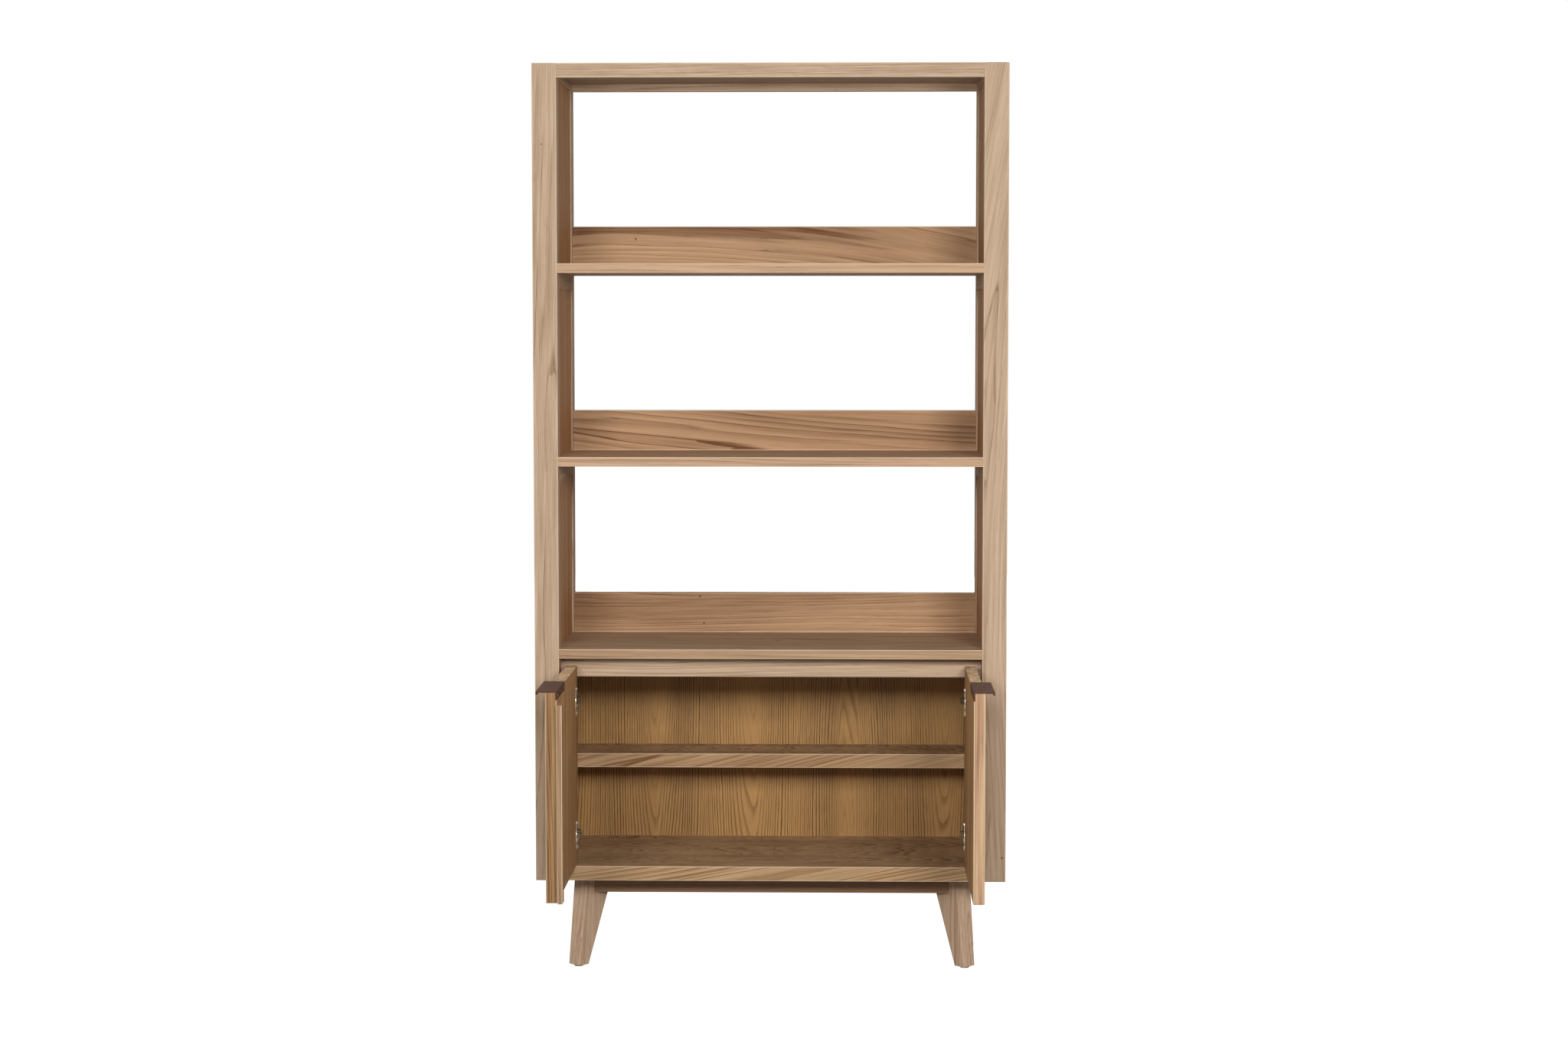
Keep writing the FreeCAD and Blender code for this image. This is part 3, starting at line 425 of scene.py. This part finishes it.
def coated(name, colours, grit_mm, rough, bump_mm, metallic=0.0, specular=0.5):
    """Even coat with a faint mottle of two colours, a roughness that follows it and a fine bump."""
    material, tree, shader = new_material(name)
    place = add(tree, "TexCoord").outputs["Object"]
    grit = add(tree, "TexNoise", {"Vector": place, "Scale": 1 / (grit_mm * MM), "Detail": 2.0}).outputs["Fac"]
    share = add(tree, "MapRange", {"Value": grit, "From Min": 0.35, "From Max": 0.65}).outputs[0]
    one, two = [linear(colour) for colour in colours]
    mottle = add(tree, "Mix", {0: share, 6: one, 7: two}, data_type="RGBA").outputs[2]
    tree.links.new(mottle, shader.inputs["Base Color"])
    level = add(tree, "MapRange", {"Value": share, "To Min": rough[0], "To Max": rough[1]}).outputs[0]
    tree.links.new(level, shader.inputs["Roughness"])
    shader.inputs["Metallic"].default_value = metallic
    shader.inputs["Specular IOR Level"].default_value = specular
    bump = add(tree, "Bump", {"Height": grit, "Strength": 0.25, "Distance": bump_mm * MM}).outputs[0]
    tree.links.new(bump, shader.inputs["Normal"])
    return material


finishes = {
    "back_veneer": veneer("oak_veneer", "#AF8652", "#422A14"),
    # Brown powder coat on folded steel: satin, with the faint orange peel of baked powder
    "handle_metal": coated("brown_powder_coat", ("#472E22", "#533729"), grit_mm=2.5, rough=(0.55, 0.62),
                           bump_mm=0.08, specular=0.1),
    # Bright nickel on the pressed cups: a clear mirror, dulled by handling in patches
    "hinge_nickel": coated("bright_nickel_plate", ("#EFEAE0", "#DED8CB"), grit_mm=6.0, rough=(0.16, 0.28),
                           bump_mm=0.02, metallic=1.0),
    # Clear zinc plate on small screws: pale, and duller than the nickel
    "screw_steel": coated("zinc_plate", ("#E9E5DC", "#D3CFC6"), grit_mm=1.5, rough=(0.25, 0.38),
                          bump_mm=0.03, metallic=1.0),
    # Dark moulded nylon: matt, with the fine spark-eroded grain of its mould
    "glide_plastic": coated("dark_moulded_nylon", ("#33302D", "#3D3936"), grit_mm=0.6, rough=(0.5, 0.62),
                            bump_mm=0.05),
}
# Nickel on the arms and plates, darker than the cups: painted shade for the dark surroundings they would
# reflect, with a broken gloss
shade_darkened_nickel = coated("shade_darkened_nickel_plate", ("#65543F", "#4A3D30"), grit_mm=5.0, rough=(0.25, 0.4),
                     bump_mm=0.02, metallic=1.0)


def dress(node, material):
    """Give a CAD node one material all over."""
    held = nodes[node].data.materials
    held.clear()
    held.append(material)


# Light and dark tone of each kind of board; some stand in for light or shade, as noted at each

POST_TONES = ("#CCB399", "#86694F")
BOARD_TONES = ("#C9A98A", "#876549")
GALLERY_TONES = ("#C6A17D", "#704D34")
LEG_TONES = ("#D2B498", "#96765C")
# Warmer, darker tones on the side panels: painted warm shade, as on their inner faces
SIDE_PAINTED_SHADE_TONES = ("#CB9C6F", "#794D2E")
DOOR_TONES = ("#B78F64", "#724E30")
LEFT_EDGE_TONES = ("#A8845C", "#563721")
RIGHT_EDGE_TONES = ("#C7A583", "#7C543D")
# Much paler tones on the doors' top faces: painted light, where light from above falls on them
DOOR_TOP_PAINTED_LIGHT_TONES = ("#F0CFA6", "#74502F")
CABINET_TOP_EDGE_TONES = ("#BA9B7C", "#7C5D42")
# Paler tones on the middle shelf's top face: painted light and sheen
SHELF_TOP_PAINTED_LIGHT_TONES = ("#E3BF9C", "#9A7351")
# Paler tones on the back top rail: painted light, making up for the front rail's shade on it
BACK_RAIL_PAINTED_LIGHT_TONES = ("#E2C6A8", "#9A7A5E")
# Darker tones on the aprons: painted shade under the cabinet's overhang
APRON_PAINTED_SHADE_TONES = ("#A58266", "#664832")
BEECH_TONES = ("#DCC3A0", "#B8996F")
STRIP_TONES = ("#AE8E6D", "#6D5038")
FLOOR_TONES = ("#C3A27C", "#7C5A3A")
TONES_OF_KIND = {
    "post": POST_TONES,
    "side_panel": SIDE_PAINTED_SHADE_TONES,
    "leg_": LEG_TONES,
    "apron": APRON_PAINTED_SHADE_TONES,
    "frame_dowels": BEECH_TONES,
}

# A face is an axis, then 0 for its low end or 1 for its high end
FRONT = (1, 0)
TOP = (2, 1)
# The axis that the grain of a door runs along
UPRIGHT = 2

# How each board is cut, where it differs from the default cut of its kind
# A heart is given across, through and along the board from its middle, in millimetres
# A knot is given by three coordinates, and a width in millimetres
CUTS = {
    "post_front_left": dict(heart=(18, 52), ring_mm=6.5, lean=(0.01, 0.012), flow_mm=5.5,
                            knots=[(-0.4321, 0.016, 1.588, 3.0)]),
    "post_front_right": dict(heart=(-38, 34), ring_mm=6.5, lean=(0.06, 0.0), bow=0.1,
                             knots=[(0.443, 0.016, 0.2306, 4.0), (0.4495, 0.016, 1.538, 3.0)]),
    "top_rail_front": dict(tones=POST_TONES, heart=(30, -26), ring_mm=5.0, lean=(0.0, 0.03), contrast=0.9),
    "top_rail_back": dict(tones=BACK_RAIL_PAINTED_LIGHT_TONES),
    "gallery_upper": dict(tones=GALLERY_TONES, heart=(46, 30, -250), ring_mm=9.0, bow=-0.17, contrast=1.1,
                          knots=[(-0.2767, 0.335, 1.4192, 4.0)]),
    "gallery_middle": dict(tones=GALLERY_TONES, heart=(-60, 30, 600), ring_mm=9.0, bow=0.065, contrast=1.1),
    "gallery_lower": dict(tones=GALLERY_TONES, heart=(70, 25, 0), lean=(0.02, 0.02), contrast=1.1,
                          knots=[(-0.15, 0.335, 0.702, 4.0), (-0.142, 0.335, 0.648, 3.5)]),
    "inner_shelf": dict(tones=FLOOR_TONES, ring_mm=6.0, lean=(0.0, 0.25), contrast=1.6, stave_mm=68),
    "cabinet_bottom": dict(tones=FLOOR_TONES, lean=(0.0, 0.16), contrast=1.5),
    "header_rail": dict(tones=POST_TONES, heart=(30, -24), ring_mm=6.0, lean=(0.0, 0.01)),
    "door_panel_left": dict(tones=DOOR_TONES, heart=(20, 60), ring_mm=5.0, stave_mm=100, grain=UPRIGHT,
                            contrast=1.2, streaks=1.2,
                            faces=[(FRONT, LEFT_EDGE_TONES), (TOP, DOOR_TOP_PAINTED_LIGHT_TONES)]),
    "door_panel_right": dict(tones=DOOR_TONES, heart=(-15, 55), ring_mm=5.0, stave_mm=100, grain=UPRIGHT,
                             contrast=1.2, streaks=1.2,
                             faces=[(FRONT, RIGHT_EDGE_TONES), (TOP, DOOR_TOP_PAINTED_LIGHT_TONES)]),
    "cabinet_top": dict(faces=[(FRONT, CABINET_TOP_EDGE_TONES)]),
    "shelf_middle": dict(faces=[(TOP, SHELF_TOP_PAINTED_LIGHT_TONES)]),
    "rebate_strip": dict(tones=STRIP_TONES, heart=(30, 20), ring_mm=6.0),
}
GALLERY_FIGURE = dict(fibres=0.5, streaks=0.35, mottle=1.6)
WOOD_SLOTS = ("case_wood", "door_wood", "leg_wood", "dowel_beech")
# Boards left without the painted edge highlight; the cleats are left without it too
NO_EDGE_HIGHLIGHT_BOARDS = ("leg_", "apron_", "frame_dowels", "post_back")
WIDE_BOARDS = ("shelf_", "cabinet_top", "top_panel", "side_panel", "door_panel", "cabinet_bottom",
               "inner_shelf")
WIDE_CUT = dict(heart=(0, -40), stave_mm=85)

# Steps of the golden section spread the boards' hearts evenly round them and in distance
GOLDEN_ANGLE = 2.4
GOLDEN_SHARE = 0.618
NEAREST_HEART_MM = 45
HEART_SPREAD_MM = 40
BOARD_RING_MM = 7.0
BOARD_LEAN = 0.012
SEED_STEP = 0.37


def own_cut(count, node):
    """Default cut of a board, with its heart off its middle in a direction of the board's own."""
    angle = GOLDEN_ANGLE * count
    reach = NEAREST_HEART_MM + HEART_SPREAD_MM * ((GOLDEN_SHARE * count) % 1)
    cut = dict(tones=BOARD_TONES, heart=(reach * math.cos(angle), reach * math.sin(angle)),
               ring_mm=BOARD_RING_MM, lean=(BOARD_LEAN * math.sin(count), BOARD_LEAN * math.cos(count)))
    for kind, tones in TONES_OF_KIND.items():
        if node.startswith(kind):
            cut["tones"] = tones
    if node.startswith("gallery"):
        cut |= GALLERY_FIGURE
    if node.startswith(WIDE_BOARDS):
        cut |= WIDE_CUT
    return cut


def dress_wood():
    """Solid wood on every board, with the grain along its longest side unless its cut says another."""
    for count, node in enumerate(sorted(nodes)):
        if slot_of[node] not in WOOD_SLOTS:
            continue
        low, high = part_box(node)
        size = high - low
        cut = own_cut(count, node) | CUTS.get(node, {})
        thick, across, along = sorted(range(3), key=lambda axis: size[axis])
        if cut.pop("grain", along) != along:
            across, along = along, across
        heart = (low + high) / 2
        for axis, offset in zip((across, thick, along), cut["heart"]):
            heart[axis] += offset * MM
        # Painted highlight along the long edges, except on the boards above and on the cleats
        painted_edge_highlight = not node.startswith(NO_EDGE_HIGHLIGHT_BOARDS) and "cleat" not in node
        cut |= dict(box=(low, high), axes=(across, thick, along), heart=heart, seed=SEED_STEP * count)
        dress(node, timber("wood_" + node, painted_edge_highlight=painted_edge_highlight, **cut))


dress_wood()
for node, slot in slot_of.items():
    if slot in finishes:
        dress(node, finishes[slot])
for node in ("hinge_arms", "hinge_plates"):
    dress(node, shade_darkened_nickel)


# Small turned pieces

def set_copies(name, form, blocks, places, body, slot, replaced=()):
    """One mesh of several copies of a closed form, each under a turn and a shift, which rides on a body."""
    points = np.concatenate([form @ np.array(turn).T + np.array(shift) for turn, shift in places])
    faces = []
    for copy in range(len(places)):
        for block in blocks:
            faces += (block + copy * len(form)).tolist()
    mesh = bpy.data.meshes.new(name)
    mesh.from_pydata(points.tolist(), [], faces)
    mesh.polygons.foreach_set("use_smooth", np.ones(len(faces), dtype=bool))
    mesh.materials.append(finishes[slot])
    piece = put(name, mesh)
    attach(piece, body)
    if replaced:
        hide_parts(*replaced)


def circle(steps):
    """Angles of equal steps round a full circle."""
    return np.linspace(0, 2 * np.pi, steps, endpoint=False)


def fuller(wave, power):
    """A cosine or sine to a power below one, with its sign kept, which gives a round form full corners."""
    return np.sign(wave) * np.abs(wave) ** power


def grid_faces(index):
    """Four-cornered faces between the rows of a grid of point numbers, closed across its columns."""
    following = np.roll(index, -1, axis=1)
    return np.stack([index[:-1], following[:-1], following[1:], index[1:]], axis=-1).reshape(-1, 4)


def turned(rings, poles):
    """Points and faces of a closed round form: rings of points between two pole points."""
    rows, around = rings.shape[:2]
    form = np.concatenate([rings.reshape(-1, 3), poles])
    index = np.arange(rows * around).reshape(rows, around)
    following = np.roll(index, -1, axis=1)
    first = np.stack([np.full(around, rows * around), following[0], index[0]], axis=-1)
    last = np.stack([np.full(around, rows * around + 1), index[-1], following[-1]], axis=-1)
    return form, [grid_faces(index), first, last]


def make_glides():
    """Nylon glides: x = R c(s) cos t, y = R c(s) sin t, z = H (1 + d(s)) / 2.

    Here c and d are the cosine and sine of s, each raised to a power below one, so that the disc
    has a full round edge and flat faces.
    """
    radius, height, power = 9 * MM, 4 * MM, 0.4
    rows, around = 20, 48
    s = np.linspace(-np.pi / 2, np.pi / 2, rows + 2)[1:-1, None]
    t = circle(around)[None, :]
    wide = radius * fuller(np.cos(s), power)
    level = height * (1 + fuller(np.sin(s), power)) / 2
    rings = np.stack([wide * np.cos(t), wide * np.sin(t), level + 0 * t], axis=-1)
    poles = np.array([(0, 0, 0), (0, 0, height)])
    feet = [mount["pos_m"] for mount in frame["record"]["mounts"] if mount["name"].startswith("foot_")]
    set_copies("turned_foot_glides", *turned(rings, poles), [(np.eye(3), foot) for foot in feet], "case",
               "glide_plastic", ["foot_glides"])


# Middles of the hinge cups on an open door, their two screws and the sheet that they are pressed from

CUP_LEVELS = (0.530, 0.272)
CUP_DEPTH_PLACE = 0.021
CUP_SCREW_SPACING = 46 * MM
FLANGE_THICKNESS = 1.2 * MM


def cup_places(side, outward):
    """Turn and place of the middle of each hinge cup's flange on an open door, with local Z off the door."""
    turn = np.array([(0, 0, outward), (0, 1, 0), (-outward, 0, 0)])
    low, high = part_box(f"hinge_cups_{side}")
    face = high[0] if outward > 0 else low[0]
    return [(turn, np.array((face, CUP_DEPTH_PLACE, level))) for level in CUP_LEVELS]


def make_screw_heads(side, outward):
    """Pan heads of the cup screws: z = H sqrt(1 - (0.95 r / R)^2), less a cross-shaped recess.

    The recess is 0.9 mm deep where x or y is within half a slot of the middle line, with sloping
    walls, and ends at 0.6 R.
    """
    radius, height, recess = 3.9 * MM, 1.6 * MM, 0.9 * MM
    slot_half, wall_slope, end_slope = 0.5 * MM, 0.3 * MM, 0.4 * MM
    rows, around = 25, 64
    r = np.linspace(0, radius, rows + 1)[1:, None]
    t = circle(around)[None, :]
    x, y = r * np.cos(t), r * np.sin(t)
    wall = np.clip((slot_half - np.minimum(np.abs(x), np.abs(y))) / wall_slope + 0.5, 0, 1)
    end = np.clip((0.6 * radius - r) / end_slope + 0.5, 0, 1)
    dome = height * np.sqrt(1 - (0.95 * r / radius) ** 2)
    rings = np.stack([x, y, dome - recess * wall * end], axis=-1)[::-1]
    poles = np.array([(0, 0, 0), (0, 0, height - recess)])
    places = []
    for turn, shift in cup_places(side, outward):
        for step in (-CUP_SCREW_SPACING / 2, CUP_SCREW_SPACING / 2):
            places.append((turn, shift + np.array((0, 0, step))))
    set_copies(f"cup_screw_heads_{side}", *turned(rings, poles), places, f"door_{side}", "screw_steel")


def make_cup_rims(side, outward):
    """Rolled rims of the hinge cups: a ring of radius Q round each cup's mouth.

    With p round its section and t round the ring, a point lies Q + W c(p) from the middle and
    H (1 + d(p)) / 2 above the door. Here c and d are the cosine and sine of p to a power below
    one, so the section is an oval with full corners.
    """
    ring, half_width, height, power = 18.2 * MM, 1.5 * MM, 1.4 * MM, 0.5
    rows, around = 20, 72
    p = circle(rows)[:, None]
    t = circle(around)[None, :]
    reach = ring + half_width * fuller(np.cos(p), power)
    level = height * (1 + fuller(np.sin(p), power)) / 2 - FLANGE_THICKNESS
    points = np.stack([reach * np.cos(t), reach * np.sin(t), level + 0 * t], axis=-1)
    index = np.arange(rows * around).reshape(rows, around)
    closed = np.concatenate([index, index[:1]])
    set_copies(f"cup_rims_{side}", points.reshape(-1, 3), [grid_faces(closed)], cup_places(side, outward),
               f"door_{side}", "hinge_nickel")


make_glides()
for side, outward in (("left", 1), ("right", -1)):
    make_screw_heads(side, outward)
    make_cup_rims(side, outward)


# Stage, light and camera

FLOOR_HALF = 15.0
FLOOR_GREY = (0.35, 0.35, 0.35, 1)
FLOOR_GLOW = 0.97
WHITE = (1, 1, 1, 1)
AMBIENT = 0.09

# Place, point aimed at, width, height, power in watts, and whether the lamp leaves a sheen on what it lights
LAMPS = {
    "front_soft_box": ((0.1, -4.6, 1.85), (0.0, 0.1, 0.7), 0.4, 0.5, 50, True),
    "right_soft_box": ((1.05, -3.1, 1.63), (0.1, 0.1, 0.7), 0.75, 0.8, 54, True),
    "left_soft_box": ((-0.97, -3.1, 1.63), (-0.1, 0.1, 0.7), 0.75, 0.8, 39, True),
    "right_fill": ((3.4, 0.2, 1.6), (0.4, 0.2, 0.9), 1.2, 1.2, 24, False),
    "left_fill": ((-3.4, 0.2, 1.6), (-0.4, 0.2, 0.9), 1.2, 1.2, 24, False),
    "back_fill": ((0.0, 9.0, 1.3), (0.0, 0.3, 0.9), 1.0, 1.0, 240, False),
    "top_fill": ((0.0, 0.35, 4.4), (0.0, 0.3, 0.0), 1.2, 1.2, 22, True),
}


def shown_rays(tree):
    """One where the camera, a reflection or a transmitted ray looks, nought for the light itself."""
    path = add(tree, "LightPath").outputs
    seen = path["Is Camera Ray"]
    for kind in ("Is Glossy Ray", "Is Transmission Ray"):
        seen = add(tree, "Math", {0: seen, 1: path[kind]}, operation="MAXIMUM").outputs[0]
    return seen


def make_floor():
    """Plain pale floor: white to the camera and in reflections, and darker only where a shadow falls."""
    corners = [(x * FLOOR_HALF, y * FLOOR_HALF, 0) for x, y in ((-1, -1), (1, -1), (1, 1), (-1, 1))]
    mesh = bpy.data.meshes.new("floor")
    mesh.from_pydata(corners, [], [(0, 1, 2, 3)])
    material = bpy.data.materials.new("pale_floor")
    tree = empty_tree(material)
    matt = add(tree, "BsdfDiffuse", {"Color": FLOOR_GREY}).outputs[0]
    glow = add(tree, "Emission", {"Color": WHITE, "Strength": FLOOR_GLOW}).outputs[0]
    both = add(tree, "AddShader", {0: matt, 1: glow}).outputs[0]
    mixed = add(tree, "MixShader", {0: shown_rays(tree), 1: matt, 2: both}).outputs[0]
    add(tree, "OutputMaterial", {"Surface": mixed})
    mesh.materials.append(material)
    floor = put("floor", mesh)


def make_world():
    """White background to the camera and in reflections, and a weak even light from all round."""
    world = bpy.data.worlds.new("studio")
    bpy.context.scene.world = world
    tree = empty_tree(world)
    strength = add(tree, "MapRange", {"Value": shown_rays(tree), "To Min": AMBIENT, "To Max": 1.0}).outputs[0]
    sky = add(tree, "Background", {"Color": WHITE, "Strength": strength}).outputs[0]
    add(tree, "OutputWorld", {"Surface": sky})


def aim_from(thing, place, aim):
    """Set a lamp or camera at a place and turn it to a point."""
    thing.location = place
    thing.rotation_euler = (Vector(aim) - Vector(place)).to_track_quat("-Z", "Y").to_euler()


def make_lamp(name, place, aim, width, height, power, sheen):
    """Soft box: a flat rectangular lamp turned to a point."""
    data = bpy.data.lights.new(name, "AREA")
    data.shape = "RECTANGLE"
    data.size = width
    data.size_y = height
    data.energy = power
    lamp = put(name, data)
    lamp.visible_glossy = sheen
    aim_from(lamp, place, aim)


def make_camera():
    """Camera at the photograph's eye point, turned so that its middle is the photograph's."""
    data = bpy.data.cameras.new("photo_camera")
    data.sensor_width = SENSOR_WIDTH_MM
    data.lens = LENS_MM
    camera = put("photo_camera", data)
    aim_from(camera, CAMERA_PLACE, CAMERA_AIM)
    bpy.context.scene.camera = camera


make_floor()
make_world()
for name, settings in LAMPS.items():
    make_lamp(name, *settings)
make_camera()
bpy.context.scene.view_settings.view_transform = "Standard"
